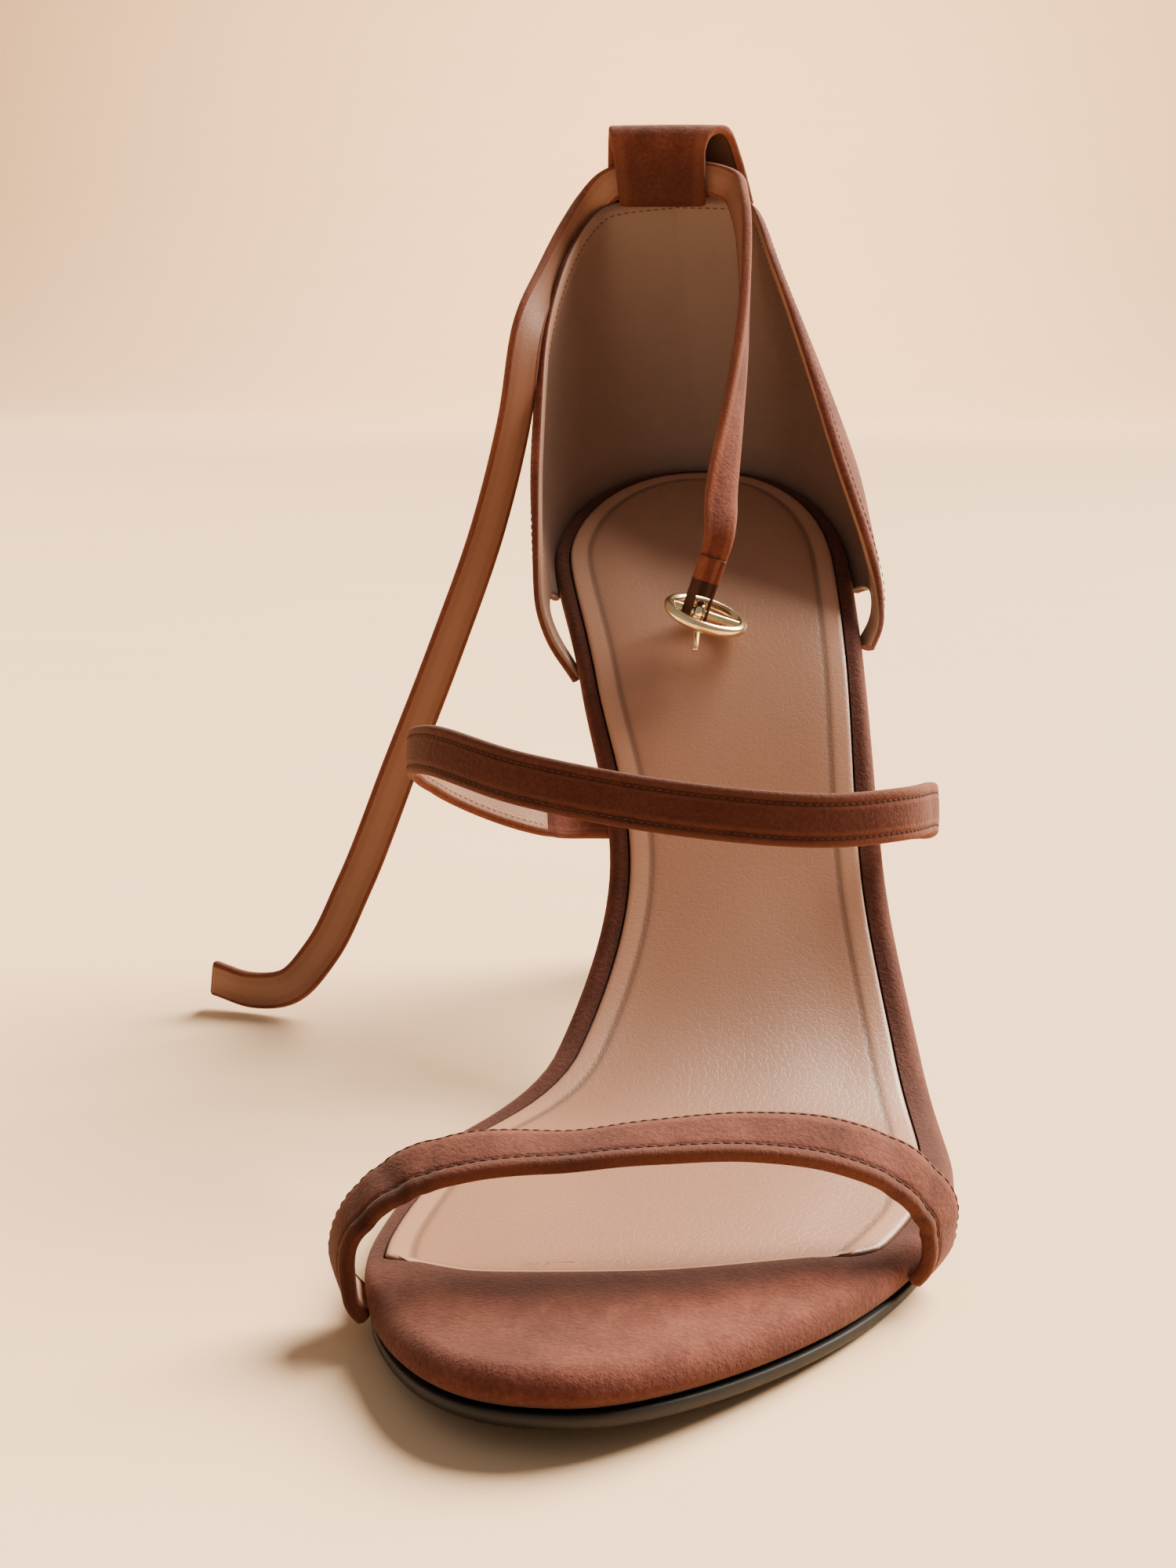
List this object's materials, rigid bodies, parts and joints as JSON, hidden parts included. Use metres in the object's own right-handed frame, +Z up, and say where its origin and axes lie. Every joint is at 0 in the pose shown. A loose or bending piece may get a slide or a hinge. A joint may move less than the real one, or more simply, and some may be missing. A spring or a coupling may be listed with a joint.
{
  "type": "high heel sandal",
  "caption": "Open-toe suede sandal for the left foot with a toe strap, an instep strap, a closed back, a buckled ankle strap and a slim high heel.",
  "frame": {"origin": "on the floor under the middle of the forefoot's flat tread", "axes": "+Z up, +Y from the toe to the heel, +X to the outer side of the left foot"},
  "size_m": [0.1305, 0.2269, 0.1661],
  "materials": {
    "brown_suede": "matt napped suede",
    "taupe_leather": "satin smooth leather",
    "black_sole": "satin black sole edge",
    "dark_leather": "dark folded leather",
    "pale_gold": "polished pale gold"
  },
  "bodies": {
    "shoe": {"outsole": "black_sole", "insole": "brown_suede", "sock": "taupe_leather", "heel": "brown_suede", "heel_tip": "black_sole", "toe_strap": "brown_suede", "instep_strap": "brown_suede", "counter": "brown_suede", "strap_loop": "brown_suede", "ankle_strap": "brown_suede", "buckle_chape": "dark_leather"},
    "buckle": {"buckle_frame": "pale_gold"},
    "prong": {"buckle_prong": "pale_gold"}
  },
  "joints": [
    {"name": "buckle_swing", "type": "hinge", "parent": "shoe", "child": "buckle", "pos_m": [0.0003, 0.093, 0.0764], "axis": [0.9511, 0, -0.309], "range_deg": [-13, 6]},
    {"name": "prong_swing", "type": "hinge", "parent": "buckle", "child": "prong", "pos_m": [0.0003, 0.093, 0.0764], "axis": [0.9511, 0, -0.309], "range_deg": [-10, 22]}
  ]
}
